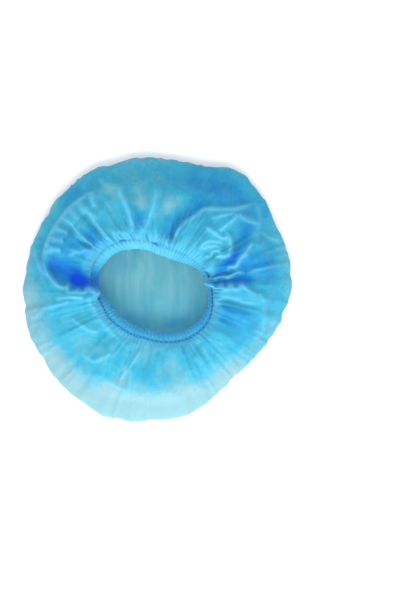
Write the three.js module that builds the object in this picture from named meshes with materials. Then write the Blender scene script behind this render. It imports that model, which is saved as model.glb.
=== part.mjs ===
// Disposable hairnet of the bouffant kind: one round sheet of thin non-woven cloth, gathered at its
// edge on an elastic ring. It lies on its crown with the mouth upwards. Millimetres, +Z up, the origin
// on the surface that it lies on, under the middle of its outline. +Y is the side of the mouth with the
// long straight folds.

import * as THREE from "three";

// Driving dimensions
const WALL = 1.2; // the cloth, modelled as a wall
const ELASTIC_DIAMETER = 2.6;
const SEAM_GAP = 0.45; // between the elastic and the cloth on either side of it, along the radius
const HEM_LENGTH = 11.5; // cloth from the seam to the free edge of the ruffle
const HEM_RISE = 1.4; // a ruffle that reaches far into the mouth rises a little before it drops
const HEM_BEND = { reach: 0.45, drop: 0.3 }; // shares of the ruffle's reach and drop where it bends over
const GATHER_COUNT = 32; // small gathers round the mouth
const GATHER_RISE = 1.5;
// Shares of the way from the seam to the outline: the small gathers are full from here, start to die out
// here, and are gone here.
const GATHER = { full: 0.08, fading: 0.1, gone: 0.5 };
const RIB_RISE = 0.8; // ribs of the ruffle, one for each small gather
const STEPS_PER_GATHER = 4;
const ELASTIC_SIDES = 6;

// The cap in plan and the height of its seam, a row for each section. The bearing is counted in degrees
// from +X towards +Y, outline and seam are radii, and the seam dips where the mouth is pinched at its two
// ends. Hem is how far the ruffle reaches into the mouth: where that is little, the ruffle hangs down.
const SECTIONS = [
  { bearing: 0, outline: 146.0, seam: 58.5, seamHeight: 33, hem: 4 },
  { bearing: 15, outline: 147.5, seam: 57.0, seamHeight: 32, hem: 4 },
  { bearing: 30, outline: 148.5, seam: 53.0, seamHeight: 37, hem: 6 },
  { bearing: 45, outline: 152.5, seam: 49.0, seamHeight: 40, hem: 9 },
  { bearing: 60, outline: 153.0, seam: 46.5, seamHeight: 41, hem: 10 },
  { bearing: 75, outline: 143.0, seam: 46.0, seamHeight: 41, hem: 10 },
  { bearing: 90, outline: 143.5, seam: 48.5, seamHeight: 41, hem: 10 },
  { bearing: 105, outline: 144.0, seam: 54.5, seamHeight: 41, hem: 10.5 },
  { bearing: 120, outline: 146.5, seam: 61.5, seamHeight: 40, hem: 11 },
  { bearing: 135, outline: 146.5, seam: 69.0, seamHeight: 38, hem: 11 },
  { bearing: 150, outline: 145.0, seam: 73.5, seamHeight: 33, hem: 11 },
  { bearing: 165, outline: 145.5, seam: 74.5, seamHeight: 26, hem: 9 },
  { bearing: 180, outline: 146.5, seam: 68.0, seamHeight: 28, hem: 5 },
  { bearing: 195, outline: 146.5, seam: 61.5, seamHeight: 36, hem: 7 },
  { bearing: 210, outline: 146.5, seam: 60.0, seamHeight: 40, hem: 9 },
  { bearing: 225, outline: 145.0, seam: 57.0, seamHeight: 41, hem: 9.5 },
  { bearing: 240, outline: 148.0, seam: 55.5, seamHeight: 41, hem: 9.5 },
  { bearing: 255, outline: 146.0, seam: 54.0, seamHeight: 41, hem: 9.5 },
  { bearing: 270, outline: 143.0, seam: 56.0, seamHeight: 41, hem: 9.5 },
  { bearing: 285, outline: 141.0, seam: 58.5, seamHeight: 41, hem: 9.5 },
  { bearing: 300, outline: 132.0, seam: 62.0, seamHeight: 41, hem: 9.5 },
  { bearing: 315, outline: 126.5, seam: 64.0, seamHeight: 41, hem: 9 },
  { bearing: 330, outline: 130.5, seam: 64.5, seamHeight: 40, hem: 7 },
  { bearing: 345, outline: 137.5, seam: 61.5, seamHeight: 37, hem: 4 },
];

// The crown's outer surface under the outline, as shares of the outline's radius.
const UNDERSIDE = [
  { station: "floor_edge", share: 0.82, height: 0 },
  { station: "lower_roll", share: 0.93, height: 2 },
  { station: "belly", share: 0.985, height: 6 },
];

// The crown's outer surface from the outline in to the mouth. Reach is the share of the way from the seam
// to the outline. A low flat ring lies round the outside, and a step leads from it to the puffed and
// gathered top.
const TOPSIDE = [
  { station: "outline", reach: 1.0, height: 11.5 },
  { station: "upper_roll", reach: 0.97, height: 17 },
  { station: "ring", reach: 0.89, height: 22 },
  { station: "step", reach: 0.79, height: 28 },
  { station: "shoulder", reach: 0.7, height: 37 },
  { station: "slope", reach: 0.54, height: 43 },
  { station: "plateau", reach: 0.36, height: 46 },
  { station: "crest", reach: 0.2, height: 47 },
  { station: "puff", reach: 0.09, height: 46 },
];

// The main folds, a row for each. Half is half the fold's width in degrees, rise the height of its ridge
// (a valley has a negative one), and from and to say which stretch it runs along, in the same shares as
// reach.
const FOLDS = [
  { fold: "right_pocket", bearing: 11, half: 10, rise: -15, from: 0.0, to: 0.85 },
  { fold: "zigzag_ridge", bearing: 25, half: 7, rise: 5, from: 0.05, to: 0.8 },
  { fold: "leaf_puff", bearing: 48, half: 15, rise: 6, from: 0.1, to: 0.9 },
  { fold: "leaf_valley", bearing: 71, half: 9, rise: -7, from: 0.02, to: 0.7 },
  { fold: "straight_fold_1", bearing: 91, half: 6, rise: 4, from: 0.02, to: 0.95 },
  { fold: "straight_fold_2", bearing: 112, half: 6, rise: 4.5, from: 0.02, to: 0.95 },
  { fold: "straight_fold_3", bearing: 127, half: 5, rise: 4, from: 0.02, to: 0.9 },
  { fold: "straight_fold_4", bearing: 139, half: 5, rise: 4, from: 0.02, to: 0.85 },
  { fold: "straight_fold_5", bearing: 151, half: 5, rise: 3.5, from: 0.02, to: 0.85 },
  { fold: "left_pocket", bearing: 170, half: 13, rise: -20, from: 0.0, to: 0.85 },
  { fold: "left_overlap", bearing: 189, half: 8, rise: 5, from: 0.04, to: 0.8 },
  { fold: "soft_fold_1", bearing: 207, half: 7, rise: 2.5, from: 0.1, to: 0.8 },
  { fold: "soft_valley_1", bearing: 219, half: 6, rise: -3, from: 0.05, to: 0.7 },
  { fold: "soft_fold_2", bearing: 233, half: 8, rise: 3, from: 0.05, to: 0.9 },
  { fold: "soft_valley_2", bearing: 248, half: 7, rise: -3, from: 0.05, to: 0.8 },
  { fold: "soft_fold_3", bearing: 268, half: 9, rise: 2.5, from: 0.05, to: 0.8 },
  { fold: "soft_fold_4", bearing: 293, half: 8, rise: 2.5, from: 0.05, to: 0.8 },
  { fold: "soft_valley_3", bearing: 308, half: 7, rise: -3, from: 0.05, to: 0.75 },
  { fold: "soft_fold_5", bearing: 325, half: 7, rise: 3, from: 0.05, to: 0.8 },
  { fold: "right_ridge", bearing: 343, half: 6, rise: 5, from: 0.03, to: 0.8 },
  { fold: "right_valley", bearing: 352, half: 5, rise: -6, from: 0.02, to: 0.7 },
  { fold: "right_ruffle", bearing: 360, half: 5, rise: 5, from: 0.02, to: 0.75 },
];
const FOLD_RAMP = 0.14; // a fold reaches its full height over this share of the way
const FOLD_FADE = 0.4; // and dies out over this share before its end

const TURN_STEPS = GATHER_COUNT * STEPS_PER_GATHER;
const EDGE_OFFSET = ELASTIC_DIAMETER / 2 + SEAM_GAP;

// A column of SECTIONS at any bearing, on a smooth closed curve through the rows.
function sectionValue(column, bearing) {
  const count = SECTIONS.length;
  const place = (((bearing % 360) + 360) % 360) / (360 / count);
  const row = Math.floor(place);
  const t = place - row;
  const [a, b, c, d] = [-1, 0, 1, 2].map((k) => SECTIONS[(row + k + count) % count][column]);
  const bend = 2 * a - 5 * b + 4 * c - d + (3 * (b - c) + d - a) * t;
  return b + 0.5 * t * (c - a + t * bend);
}

function smooth(from, to, x) {
  return THREE.MathUtils.smoothstep(x, from, to);
}

// The sum of the main folds at a bearing and reach: each is a cosine bump across, eased in and out along
// its length.
function foldHeight(bearing, reach) {
  let height = 0;
  for (const fold of FOLDS) {
    const away = Math.abs(((((bearing - fold.bearing) % 360) + 540) % 360) - 180);
    if (away >= fold.half) continue;
    const across = 0.5 + 0.5 * Math.cos((Math.PI * away) / fold.half);
    const begun = smooth(fold.from, fold.from + FOLD_RAMP, reach);
    const ended = smooth(fold.to - FOLD_FADE, fold.to, reach);
    height += fold.rise * across * begun * (1 - ended);
  }
  return height;
}

// Small gathers: a wave round the mouth, at rest at the seam and dying out towards the outline.
function gatherHeight(bearing, reach) {
  const wave = Math.cos(THREE.MathUtils.degToRad(bearing * GATHER_COUNT));
  const begun = smooth(0, GATHER.full, reach);
  const ended = smooth(GATHER.fading, GATHER.gone, reach);
  return GATHER_RISE * wave * begun * (1 - ended);
}

function polar(radius, bearing, height) {
  const angle = THREE.MathUtils.degToRad(bearing);
  return new THREE.Vector3(radius * Math.cos(angle), radius * Math.sin(angle), height);
}

// The crown's outer surface at one bearing, from the floor's edge up round the outline to the seam.
function crownLine(bearing) {
  const outline = sectionValue("outline", bearing);
  const edge = sectionValue("seam", bearing) + EDGE_OFFSET;
  const under = UNDERSIDE.map(({ share, height }) => polar(share * outline, bearing, height));
  const top = TOPSIDE.map(({ reach, height }) => {
    const lift = foldHeight(bearing, reach) + gatherHeight(bearing, reach);
    return polar(edge + reach * (outline - edge), bearing, height + lift);
  });
  return [...under, ...top, polar(edge, bearing, sectionValue("seamHeight", bearing))];
}

// The ruffle's upper face at one bearing, from the seam to its free edge in the mouth. Where it hangs down
// its wall is turned to the elastic, so it starts further in.
function hemLine(bearing) {
  const height = sectionValue("seamHeight", bearing);
  const reach = sectionValue("hem", bearing);
  const drop = Math.sqrt(HEM_LENGTH ** 2 - reach ** 2);
  const lean = reach / HEM_LENGTH;
  const edge = sectionValue("seam", bearing) - EDGE_OFFSET - WALL * (drop / HEM_LENGTH);
  const rib = RIB_RISE * Math.cos(THREE.MathUtils.degToRad(bearing * GATHER_COUNT));
  const inwards = rib * (1 - lean);
  const upwards = rib * lean;
  const bend = edge - HEM_BEND.reach * reach - inwards;
  return [
    polar(edge, bearing, height),
    polar(bend, bearing, height - HEM_BEND.drop * drop + HEM_RISE * lean + upwards),
    polar(edge - reach - inwards, bearing, height - drop + upwards),
  ];
}

// The elastic's round section at one bearing.
function elasticLine(bearing) {
  const centre = sectionValue("seam", bearing);
  const height = sectionValue("seamHeight", bearing);
  return Array.from({ length: ELASTIC_SIDES }, (_, k) => {
    const turn = (2 * Math.PI * k) / ELASTIC_SIDES;
    const reach = (ELASTIC_DIAMETER / 2) * Math.cos(turn);
    return polar(centre + reach, bearing, height + (ELASTIC_DIAMETER / 2) * Math.sin(turn));
  });
}

function bearings() {
  return Array.from({ length: TURN_STEPS }, (_, k) => (360 * k) / TURN_STEPS);
}

// Each line moved square to the surface that the lines make, by the wall's thickness.
function offsetLines(lines, distance) {
  return lines.map((line, i) =>
    line.map((point, j) => {
      const before = lines[(i + lines.length - 1) % lines.length][j];
      const after = lines[(i + 1) % lines.length][j];
      const along = line[Math.min(j + 1, line.length - 1)].clone().sub(line[Math.max(j - 1, 0)]);
      const normal = after.clone().sub(before).cross(along).normalize();
      return point.clone().addScaledVector(normal, -distance);
    }),
  );
}

// A body that goes all round the axis, from its sections in turn. A section is a closed loop of points, or,
// with poles, an open line from the axis to the axis that the two pole points close.
function roundBody(sections, poles) {
  const points = sections.flat();
  const size = sections[0].length;
  const index = [];
  const spans = poles ? size - 1 : size;
  sections.forEach((_, i) => {
    const here = i * size;
    const next = ((i + 1) % sections.length) * size;
    for (let j = 0; j < spans; j++) {
      const k = (j + 1) % size;
      index.push(here + j, next + j, next + k, here + j, next + k, here + k);
    }
    if (poles) {
      index.push(points.length, next, here);
      index.push(points.length + 1, here + size - 1, next + size - 1);
    }
  });
  const geometry = new THREE.BufferGeometry().setFromPoints(poles ? [...points, ...poles] : points);
  geometry.setIndex(index);
  geometry.computeVertexNormals();
  return geometry;
}

// A wall: each line, and the same line one wall's thickness behind it, joined into one section.
function wallSections(lines, back) {
  return lines.map((line, i) => [...line, ...back[i].slice().reverse()]);
}

function crownGeometry() {
  const outer = bearings().map(crownLine);
  const inner = offsetLines(outer, WALL);
  inner.forEach((line, i) => {
    line[0].copy(outer[i][0]).setZ(WALL);
  });
  return roundBody(wallSections(outer, inner), [new THREE.Vector3(0, 0, 0), new THREE.Vector3(0, 0, WALL)]);
}

function hemGeometry() {
  const upper = bearings().map(hemLine);
  return roundBody(wallSections(upper, offsetLines(upper, WALL)));
}

function elasticGeometry() {
  return roundBody(bearings().map(elasticLine));
}

function cloth(color) {
  return new THREE.MeshStandardMaterial({ color, roughness: 0.85, metalness: 0, side: THREE.DoubleSide });
}

function piece(name, geometry, material) {
  const mesh = new THREE.Mesh(geometry, material);
  mesh.name = name;
  return mesh;
}

const hairnet = new THREE.Group();
hairnet.add(
  piece("crown", crownGeometry(), cloth(0x3fb4dc)),
  piece("hem_ruffle", hemGeometry(), cloth(0x55c8f0)),
  piece("elastic_band", elasticGeometry(), cloth(0x1c6fc4)),
);

export default hairnet;
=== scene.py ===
"""Looks of a disposable hairnet of the bouffant kind, lying on its crown with the mouth upwards.

The crown, the hem ruffle, the elastic and the seam's stitches are surfaces worked out on grids. A place on
the cap is a bearing, counted from +X towards +Y, and a reach, 0 at the seam round the mouth and 1 at the
outline. Folds that the photograph shows are short curves in plan, given in its 400 by 600 pixels.
"""
import math

import bpy
import numpy as np
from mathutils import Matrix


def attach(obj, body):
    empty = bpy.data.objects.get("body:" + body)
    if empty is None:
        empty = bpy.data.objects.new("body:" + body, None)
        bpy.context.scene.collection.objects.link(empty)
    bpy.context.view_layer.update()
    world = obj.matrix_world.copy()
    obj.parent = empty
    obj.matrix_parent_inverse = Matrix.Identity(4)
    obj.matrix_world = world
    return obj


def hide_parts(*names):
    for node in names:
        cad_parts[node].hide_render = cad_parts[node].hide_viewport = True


bl_info = {
    "name": "Disposable hairnet",
    "version": (1, 0, 0),
    "blender": (4, 5, 0),
    "location": "View3D > Sidebar > Hairnet",
    "description": "Builds a gathered non-woven hairnet round its packed solids",
    "category": "Object",
}

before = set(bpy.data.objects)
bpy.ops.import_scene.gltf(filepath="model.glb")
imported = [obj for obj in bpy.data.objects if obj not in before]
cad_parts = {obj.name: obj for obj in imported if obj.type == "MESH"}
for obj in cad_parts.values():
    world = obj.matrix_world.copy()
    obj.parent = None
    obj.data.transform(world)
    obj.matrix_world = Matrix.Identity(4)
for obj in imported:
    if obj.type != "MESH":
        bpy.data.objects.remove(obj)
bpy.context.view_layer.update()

MM = 0.001
TURN = 2 * math.pi
# The photograph: a pixel's size at the outline, the pixel over the frame's origin, its middle and its height.
PIXEL = 1.09 * MM
ORIGIN_PIXEL = (157.5, 289.5)
VIEW_MIDDLE = (200.0, 300.0)
VIEW_HEIGHT = 600
# Side of the square in plan that noise covers, in metres.
PLAN_SPAN = 0.36

# The cap in plan, a row every 15 degrees from +X: outline and seam are radii, hem is how far the ruffle
# reaches into the mouth. Millimetres.
SECTION_COLUMNS = ("outline", "seam", "seam_height", "hem")
SECTIONS = np.array([
    (146.0, 58.5, 33, 4), (147.5, 57.0, 32, 4), (148.5, 53.0, 37, 6), (152.5, 49.0, 40, 9),
    (153.0, 46.5, 41, 10), (143.0, 46.0, 41, 10), (143.5, 48.5, 41, 10), (144.0, 54.5, 41, 10.5),
    (146.5, 61.5, 40, 11), (146.5, 69.0, 38, 11), (145.0, 73.5, 33, 11), (145.5, 74.5, 26, 9),
    (146.5, 68.0, 28, 5), (146.5, 61.5, 36, 7), (146.5, 60.0, 40, 9), (145.0, 57.0, 41, 9.5),
    (148.0, 55.5, 41, 9.5), (146.0, 54.0, 41, 9.5), (143.0, 56.0, 41, 9.5), (141.0, 58.5, 41, 9.5),
    (132.0, 62.0, 41, 9.5), (126.5, 64.0, 41, 9), (130.5, 64.5, 40, 7), (137.5, 61.5, 37, 4),
])

# The crown from the floor's edge round the outline to the seam. A station's radius is the share out of the
# outline's plus the share seam of the seam's, and its height takes the share hang of the seam's height.
# Rows is how many rows of the grid lead on to the next station.
PROFILE_COLUMNS = ("out", "seam", "height", "hang", "rows")
PROFILE = np.array([
    (0.82, 0.00, 0.0, 0, 3),
    (0.93, 0.00, 2.0, 0, 2),
    (0.985, 0.00, 6.0, 0, 2),
    (1.00, 0.00, 11.5, 0, 3),
    (0.97, 0.03, 17.0, 0, 4),
    (0.89, 0.11, 22.0, 0, 5),
    (0.79, 0.21, 28.0, 0, 6),
    (0.70, 0.30, 37.0, 0, 9),
    (0.54, 0.46, 43.0, 0, 11),
    (0.36, 0.64, 46.0, 0, 10),
    (0.20, 0.80, 47.0, 0, 7),
    (0.09, 0.91, 46.0, 0, 6),
    (0.00, 1.00, 0.0, 1, 0),
])
FLOOR_SHARE = PROFILE[0, PROFILE_COLUMNS.index("out")]
OUTLINE_HEIGHT = PROFILE[3, PROFILE_COLUMNS.index("height")]
# The seam's usual height in mm.
SEAM_LEVEL = 40
# Over what share of the seam the folds grow in above the outline, and over what reach they do at the seam.
SIDE_EASE = 0.06
FOLD_START = 0.1
# The tier between the mouth and the low outer ring: the reach where it starts to end, and where it has ended.
TIER_REACH = (0.62, 0.98)
# Depth of colour: of the outer ring, and how much deeper the tier is.
RING_DEPTH = 0.2
TIER_DEPTH = 0.16

# The broad folds, as wedges: bearing and half width in degrees, rise in mm (a valley's is negative), and
# the reach where each starts and ends.
WEDGES = {
    "right_pocket": (11, 10, -6, 0.0, 0.85),
    "zigzag_ridge": (25, 7, 4, 0.05, 0.8),
    "leaf_puff": (48, 15, 6, 0.1, 0.9),
    "leaf_valley": (71, 9, -6, 0.02, 0.7),
    "straight_fold_1": (91, 6, 3, 0.02, 0.95),
    "straight_fold_2": (112, 6, 3, 0.02, 0.95),
    "straight_fold_3": (127, 5, 3, 0.02, 0.9),
    "straight_fold_4": (139, 5, 3, 0.02, 0.85),
    "straight_fold_5": (151, 5, 2.5, 0.02, 0.85),
    "left_pocket": (170, 13, -8, 0.0, 0.85),
    "left_overlap": (189, 8, 5, 0.04, 0.8),
    "soft_fold_1": (207, 7, 2.5, 0.1, 0.8),
    "soft_valley_1": (219, 6, -3, 0.05, 0.7),
    "soft_fold_2": (233, 8, 3, 0.05, 0.9),
    "soft_valley_2": (248, 7, -3, 0.05, 0.8),
    "soft_fold_3": (268, 9, 2.5, 0.05, 0.8),
    "soft_fold_4": (293, 8, 2.5, 0.05, 0.8),
    "soft_valley_3": (308, 7, -3, 0.05, 0.75),
    "soft_fold_5": (325, 7, 3, 0.05, 0.8),
    "right_ridge": (343, 6, 4, 0.03, 0.8),
    "right_valley": (352, 5, -4, 0.02, 0.7),
}
# Over what reach a wedge grows in and fades out.
WEDGE_RAMP = 0.14
WEDGE_FADE = 0.4

# Sharp ridges: rise and half width in mm, how much painted highlight the fold gets, and its points in pixels.
RIDGES = {
    "straight_a": (2.5, 2.5, 0.6, [(98.5, 177.5), (104, 184.5), (112, 188.5), (119, 187)]),
    "straight_b": (5.0, 3.0, 1.0, [
        (119, 186.5), (121.5, 194.5), (127.5, 206.5), (132.5, 224), (134, 236)]),
    "straight_c": (4.5, 4.0, 0.7, [
        (157.5, 187.5), (154.5, 202.5), (150.5, 216), (145.5, 228), (141.5, 237)]),
    "straight_d": (4.5, 3.0, 0.9, [(84, 204.5), (92, 216), (99, 227), (106, 237), (114, 244)]),
    "straight_e": (4.0, 2.5, 0.8, [(62.5, 216), (72.5, 224), (84, 238), (97, 248)]),
    "straight_f": (2.0, 2.0, 0.5, [(76, 235), (88, 243), (97, 249)]),
    "pocket_lip": (3.0, 3.0, 0.6, [(68, 256), (79, 252.5), (92, 250.5), (97, 250)]),
    "left_ring": (2.0, 2.5, 0.6, [(34, 249.5), (40.5, 266.5), (48.5, 276.5)]),
    "leaf_top": (3.0, 2.0, 0.8, [(209.5, 219.5), (222, 216.5), (234, 213.5)]),
    "leaf_back": (4.0, 2.2, 1.0, [(218.5, 233), (225, 227), (234, 219.5), (236, 213.5)]),
    "leaf_middle": (4.0, 2.4, 1.0, [(203.5, 227), (213.5, 233), (222.5, 239), (229, 236)]),
    "leaf_front": (3.5, 2.2, 0.9, [(196.5, 251), (205.5, 243), (214.5, 242), (223.5, 244)]),
    "leaf_foot": (3.5, 2.0, 0.9, [(203.5, 255), (209.5, 257), (214.5, 251), (222, 254)]),
    "zigzag": (5.0, 2.0, 1.0, [
        (228, 273.5), (229, 268), (235, 267), (239, 259), (245, 253), (250, 245), (254, 244)]),
    "zigzag_twin": (4.0, 1.8, 0.7, [(235, 269), (241, 259), (248, 254)]),
    "right_line": (4.0, 2.0, 1.0, [
        (214.5, 282.5), (215.5, 278.5), (221.5, 276.5), (228, 277.5), (236, 272.5), (245, 273.5)]),
    "right_line_out": (1.5, 2.0, 0.5, [(245, 273.5), (269, 267), (281.5, 265)]),
    "right_flap": (4.0, 3.5, 0.9, [
        (210.5, 302), (217, 299), (226.5, 297), (236, 299), (245.5, 302), (264, 303)]),
    "right_flap_end": (2.0, 2.5, 0.6, [(258, 292.5), (264, 303)]),
    "leaf_right": (2.5, 2.2, 0.8, [(237, 214), (245, 220), (258, 225)]),
    "leaf_swirl": (3.0, 2.0, 0.9, [(197, 247), (204, 249), (213, 246), (219, 249), (214, 254)]),
    "right_ring": (1.5, 2.0, 0.6, [(259, 231), (267, 237), (275, 240), (280.5, 239)]),
    "right_band": (1.5, 3.5, 0.4, [(237, 213.5), (244, 218.5), (260, 224)]),
    "soft_right_1": (2.0, 2.5, 0.4, [(206.5, 333.5), (213, 339.5), (223.5, 343)]),
    "soft_right_2": (2.0, 3.0, 0.4, [(200.5, 342), (211, 359.5), (216, 368)]),
    "soft_right_3": (2.0, 3.0, 0.4, [(195, 353.5), (203.5, 366), (211, 375.5)]),
    "overlap_top": (4.0, 3.0, 0.9, [(57, 299), (72.5, 296.5), (87, 298)]),
    "overlap_side": (2.0, 2.5, 0.6, [(46.5, 309.5), (61, 304), (72.5, 300)]),
    "overlap_edge": (2.0, 2.5, 0.5, [(31.5, 319), (43.5, 310.5), (57, 300)]),
    "front_lip": (0.6, 3.5, 0.8, [(86.8, 294), (95, 307), (104, 321.5), (117, 336), (130, 344)]),
    "back_lip": (0.6, 3.5, 0.8, [
        (98, 254), (113, 243), (131.5, 239.5), (153, 241), (175, 248), (189.5, 255.5), (204, 268)]),
    "low_left": (2.5, 2.2, 0.7, [(72.5, 316.5), (80, 323), (91.5, 330), (101, 330.5)]),
    "low_wave": (2.0, 2.5, 0.6, [(82, 351), (93.5, 359.5), (105, 356.5), (114.5, 351)]),
    "low_triangle_1": (2.5, 2.5, 0.7, [(142.5, 347), (131, 365), (120.5, 378.5)]),
    "low_triangle_2": (2.0, 2.2, 0.7, [(103, 379.5), (116.5, 384.5), (129, 390)]),
    "low_triangle_3": (1.8, 2.2, 0.5, [(131, 365), (129, 390), (120.5, 398.5)]),
}
# The share of a ridge's length, at each end, over which it fades, and the same for the edges below.
RIDGE_ENDS = 0.18
LAP_ENDS = 0.12

# Short pleats that run in from the left shelf towards the mouth: how many places along the shelf, of which
# the first has none, rise, half width, painted highlight, what share of the way they go, and the pixel they
# point at.
FAN = (8, 2.6, 3.4, 0.8, 0.3, (108, 250))

# Edges where one layer lies over another: drop of the low side in mm, how far that side takes to come back
# up, the raised lip, how much painted highlight the lip gets, and the points in pixels with the low side on
# the left.
LAPS = {
    "left_ruffle": (9.0, 20.0, 3.5, 1.0, [
        (45, 257), (49, 270), (57, 281), (65, 286), (69.5, 284.5), (72.5, 291), (80, 289.5), (83, 291.5),
        (90, 287), (97, 291), (106, 293)]),
    "leaf_edge": (6.0, 14.0, 3.0, 0.9, [
        (173.5, 241), (175.5, 232), (184.5, 222), (194.5, 215.5), (205.5, 208.5), (233, 208.5),
        (255, 200.5)]),
    "leaf_side": (8.0, 8.0, 3.0, 1.0, [(226, 231), (232, 240), (231, 254), (225, 258), (214, 258)]),
    "right_ruffle": (6.0, 9.0, 3.5, 1.0, [
        (203.5, 282.5), (211.5, 284.5), (215.5, 287.5), (221.5, 283.5), (225, 287.5), (230, 283.5),
        (235, 287.5), (241, 283.5), (246, 287), (251, 290.5), (261, 294)]),
    "left_shelf": (6.0, 9.0, 3.0, 0.8, [
        (43.5, 261.5), (44.5, 250.5), (48.5, 238), (54.5, 227), (62.5, 216), (69, 208), (78, 200.5),
        (91, 192)]),
    "right_shelf": (4.0, 9.0, 1.5, 0.4, [(255, 200.5), (260, 208.5), (260.5, 224), (257, 244)]),
    "low_right_shelf": (2.5, 8.0, 1.5, 0.4, [(264, 304), (266, 318), (264, 330), (256, 339.5)]),
}
# How far across its edge a lap's step goes, in mm, and how far back its lip reaches.
LAP_SHARPNESS = 1.2
LIP_WIDTH = 4 * MM
# The lip's band of painted highlight: how far its middle lies from the edge, and its half width.
LIP_MIDDLE = 1.6 * MM
LIP_HALF = 3.2 * MM

# Bands of depth of colour: deeper where layers of cloth lie on one another, and as painted shade in pockets,
# valleys and on the far side of the ring; paler where one layer lies alone, in pale patches of the cloth, and
# as painted light on the near side of the rim. Depth added, half width in mm, points in pixels.
LAYERS_AND_SHADE = {
    # Painted shade deep in the pockets and valleys, on top of the layers there.
    "left_pocket": (0.44, 12, [(56, 266), (67, 270), (80, 277)]),
    "left_pocket_bottom": (0.42, 8, [(78, 281), (93, 286)]),
    "right_valley": (0.34, 6, [(217, 274), (226, 266), (231, 258)]),
    "right_pocket": (0.3, 6, [(216, 284), (232, 281), (249, 280)]),
    "right_side": (0.24, 12, [(240, 268), (252, 262), (265, 270)]),
    "leaf_shadow": (0.2, 9, [(168, 234), (180, 221), (196, 210)]),
    # Painted shade on the far side of the ring, away from the key light.
    "upper_right_ring": (0.27, 24, [(205, 180), (235, 190), (262, 212)]),
    "upper_left_ring": (0.14, 12, [(70, 193), (82, 185), (95, 178)]),
    "left_ring": (0.14, 11, [(38, 264), (45, 238), (57, 215), (74, 196)]),
    "top_ring": (0.1, 14, [(100, 176), (150, 166), (190, 172)]),
    # Painted shade in the valleys between folds.
    "between_straight": (0.2, 9, [(136, 232), (138, 220)]),
    "left_of_straight": (0.2, 8, [(94, 234), (104, 243)]),
    "left_tier": (0.2, 12, [(66, 244), (84, 246)]),
    "low_right": (0.12, 14, [(228, 318), (240, 330)]),
    "mid_right": (0.12, 12, [(222, 310), (250, 312)]),
    "swirl_shadow": (0.24, 6, [(236, 254), (242, 242), (247, 230)]),
    "right_ring": (0.12, 14, [(272, 250), (280, 280), (276, 310)]),
    "top_patch_1": (-0.2, 8, [(168, 208), (175, 200)]),
    "top_patch_2": (-0.18, 9, [(138, 192), (141, 201)]),
    "top_patch_3": (-0.18, 7, [(109, 188), (118, 194)]),
    "low_patch_1": (-0.1, 8, [(78, 345), (98, 350)]),
    "low_patch_2": (-0.16, 9, [(140, 352), (148, 344)]),
    "low_patch_3": (-0.12, 12, [(168, 366), (178, 374)]),
    "low_triangle": (-0.2, 6, [(107, 383), (122, 384), (127, 370)]),
    # Painted light on the near side of the rim, which faces the key light, together with one layer lying
    # alone.
    "low_middle": (-0.27, 14, [(110, 395), (150, 399), (190, 392)]),
    "low_rim": (-0.3, 20, [(58, 372), (90, 402), (130, 416), (170, 417), (205, 404), (230, 378)]),
    "left_rim": (-0.14, 13, [(30, 300), (36, 330), (50, 358)]),
}

# Small swells and notches of the outline: bearing and half width in degrees, and how far out in mm.
OUTLINE_SWELLS = {
    "upper_right_corner": (54, 12, 3.2),
    "upper_right_notch": (66, 10, -4.2),
    "upper_left_flat": (146, 14, -1.4),
    "left_flat": (181, 18, -2.0),
    "low_left_swell": (222, 10, 1.2),
    "low_left_notch": (236, 7, -1.4),
    "low_swell": (250, 8, 1.0),
}

# Where the cloth hangs over the seam into the mouth: bearing, half width in degrees, and how far in mm.
OVERHANGS = {
    "right_tip": (7, 9, 13.0),
    "right_upper": (22, 10, 5.0),
    "right_lower": (352, 10, 5.0),
    "left_tip": (182, 12, 11.0),
}

# The reach where an overhang is full, starts to fade and is gone.
OVERHANG_REACH = (0.06, 0.08, 0.45)

# Where gathers close over the elastic and hide it: bearings in degrees from and to, and over how many that
# eases in. The gaps, each a bearing and a half width, stay open.
COVER = (18, 176, 12)
COVER_GAPS = ((92, 7), (125, 5))
# How far the crown's edge rises and the elastic sinks there.
COVER_RISE = 1.2 * MM
# How far the edge moves in there, as a share of its offset from the elastic, and the same for the hem's.
COVER_PAST = 1.6
COVER_TUCK = 0.8

# Gathers that run out from the mouth: cells round the cap and along the reach, rise in mm, and the reach
# where they are full, start to fade and are gone.
GATHERS = {
    "fine": (200, 4, 1.1, 0.03, 0.06, 0.26),
    "middle": (110, 4, 2.0, 0.06, 0.16, 0.55),
    "broad": (48, 3, 1.8, 0.15, 0.4, 0.95),
    "ring": (76, 3, 1.2, 0.7, 0.85, 1.0),
}
# Where gathers are soft: bearing, half widths in degrees where that is full and gone, and the share left.
SOFT_SIDES = {
    "front": (260, 72, 104, 0.15),
    "leaf": (45, 16, 34, 0.2),
}
# Painted light on the tight gathers beside the seam: how much they lighten, and the reach where that ends.
SEAM_SHINE = 0.75
SEAM_REACH = 0.2
# The depths of colour between which a pocket stops the seam's shine.
POCKET_DEPTHS = (0.5, 0.8)
# Painted shade in the gathers' valleys: how much deeper in colour a metre of valley is than a crest.
GATHER_VALLEY_SHADE = 10.0
# How steeply creased noise falls from its creases.
CREASE_FALL = 2.2
# The first seed of the gathers.
GATHER_SEED = 31

# Ribs round the mouth: how many, rise in mm and the reach where they end.
RIBS = 84
RIB_RISE = 1.3
RIB_REACH = 0.16
# How far their phase wanders in radians, in how many cells, and a seed.
RIB_WANDER = 3.6
RIB_CELLS = 24
RIB_SEED = 21
# What a rib's wave comes to on the whole, before that is taken off.
RIB_MEAN = 0.75

# The cloth's wall, how far the edges of crown and hem lie from the elastic's middle, and the crown's steps
# round the cap.
CLOTH_WALL = 0.3 * MM
EDGE_OFFSET = 1.0 * MM
TURN_STEPS = 600
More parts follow.
